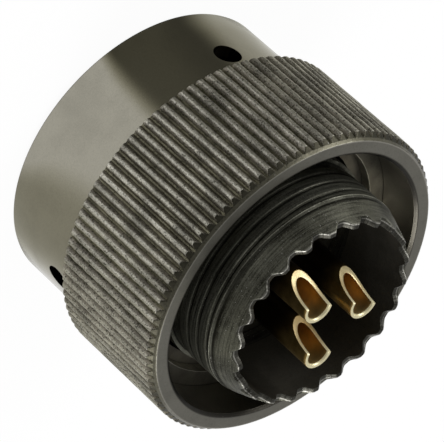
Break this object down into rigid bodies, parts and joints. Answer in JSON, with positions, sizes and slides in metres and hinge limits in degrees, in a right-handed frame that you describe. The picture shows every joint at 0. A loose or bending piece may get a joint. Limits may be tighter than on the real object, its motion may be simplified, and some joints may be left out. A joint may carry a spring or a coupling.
{
  "type": "circular connector plug",
  "caption": "Circular bayonet plug with a knurled coupling ring, keyed shell, toothed threaded rear barrel and gold solder-cup sockets.",
  "frame": {"origin": "centre of the coupling ring's front rim, on which the plug stands", "axes": "+Z along the plug's axis towards the cable side; +X through the master key"},
  "size_m": [0.0262, 0.0262, 0.0226],
  "materials": {
    "ring_metal": "olive grey plated, satin",
    "shell_metal": "dark olive plated, satin",
    "insert_rubber": "moulded, matt",
    "insert_plastic": "moulded, matt",
    "gasket_rubber": "cut sheet, matt",
    "contact_gold": "gold plated",
    "hood_steel": "drawn, bright",
    "spring_steel": "hardened, dark",
    "washer_steel": "dark plated, satin"
  },
  "bodies": {
    "shell": {"plug_shell": "shell_metal", "front_insert": "insert_rubber", "retention_disc": "insert_plastic", "rear_insert": "insert_plastic", "insert_clip": "spring_steel", "main_gasket": "gasket_rubber", "socket_contact_a": "contact_gold", "socket_contact_b": "contact_gold", "socket_contact_c": "contact_gold", "socket_hood_a": "hood_steel", "socket_hood_b": "hood_steel", "socket_hood_c": "hood_steel", "wave_washer": "spring_steel"},
    "thrust": {"thrust_washer": "washer_steel"},
    "ring": {"coupling_ring": "ring_metal", "snap_ring": "washer_steel"}
  },
  "joints": [
    {"name": "lock_travel", "type": "slide", "parent": "shell", "child": "thrust", "axis": [0, 0, -1], "range_m": [0, 0.0008], "stiffness_N_per_m": 6000, "springref_m": -0.0004, "deforming": ["wave_washer"]},
    {"name": "ring_turn", "type": "hinge", "parent": "thrust", "child": "ring", "pos_m": [0, 0, 0], "axis": [0, 0, 1], "continuous": true}
  ]
}
